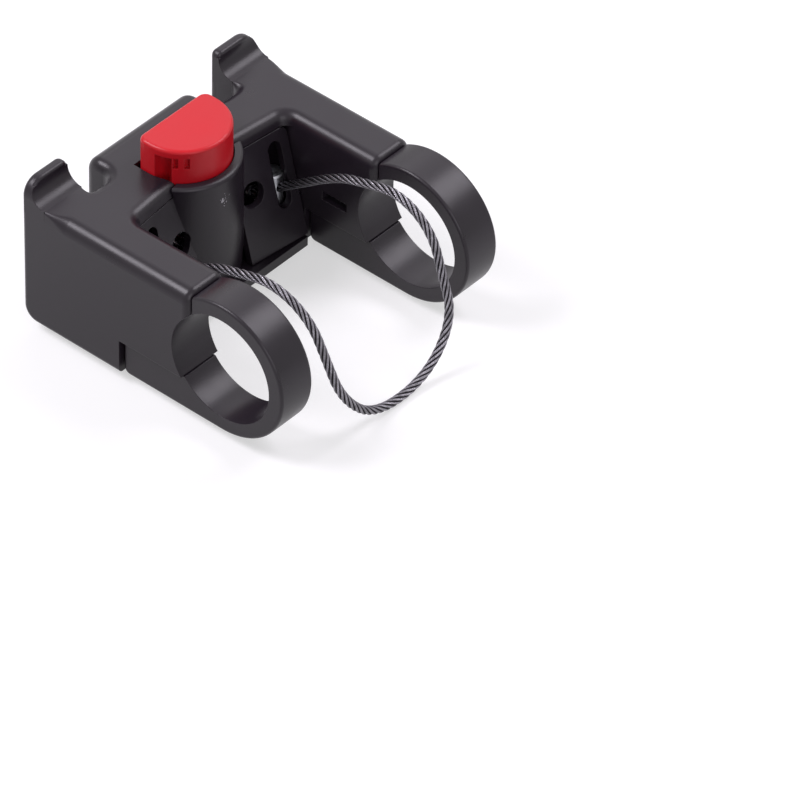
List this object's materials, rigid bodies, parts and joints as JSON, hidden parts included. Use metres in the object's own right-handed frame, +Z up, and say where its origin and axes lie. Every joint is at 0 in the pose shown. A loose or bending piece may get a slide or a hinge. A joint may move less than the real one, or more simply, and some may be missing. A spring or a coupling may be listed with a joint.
{
  "type": "bicycle handlebar bag mount",
  "caption": "Quick-release mount that clamps on a bicycle handlebar by split collars and a steel safety cable, with hook notches and a push button for a bag.",
  "frame": {"origin": "on the axis of the two clamp bores, midway between the collars", "axes": "+X along the handlebar to the rider's left, +Y back towards the rider, +Z up"},
  "size_m": [0.0856, 0.0951, 0.0511],
  "materials": {
    "black_nylon": "matte moulded",
    "red_nylon": "satin moulded",
    "spring_steel": "bright drawn wire",
    "steel_cable": "stranded wire",
    "zinc_steel": "zinc plated",
    "aluminium": "satin"
  },
  "bodies": {
    "mount": {"housing": "black_nylon", "inner_plate": "black_nylon", "steel_cable": "steel_cable", "clamp_collar_left": "black_nylon", "clamp_collar_right": "black_nylon", "clamp_screw_left": "zinc_steel", "clamp_screw_right": "zinc_steel", "clamp_washer_left": "zinc_steel", "clamp_washer_right": "zinc_steel", "clamp_nut_left": "zinc_steel", "clamp_nut_right": "zinc_steel", "plate_screw_left": "zinc_steel", "plate_screw_right": "zinc_steel", "cable_barrel_left": "zinc_steel", "cable_barrel_right": "zinc_steel", "cable_set_screw_left": "zinc_steel", "cable_set_screw_right": "zinc_steel", "cable_end_cap_left": "aluminium", "cable_end_cap_right": "aluminium", "button_spring": "spring_steel"},
    "button": {"release_button": "red_nylon"}
  },
  "joints": [
    {"name": "release_press", "type": "slide", "parent": "mount", "child": "button", "axis": [0, 0, -1], "range_m": [0, 0.006], "stiffness_N_per_m": 1200, "springref_m": -0.004, "deforming": ["button_spring"]}
  ]
}
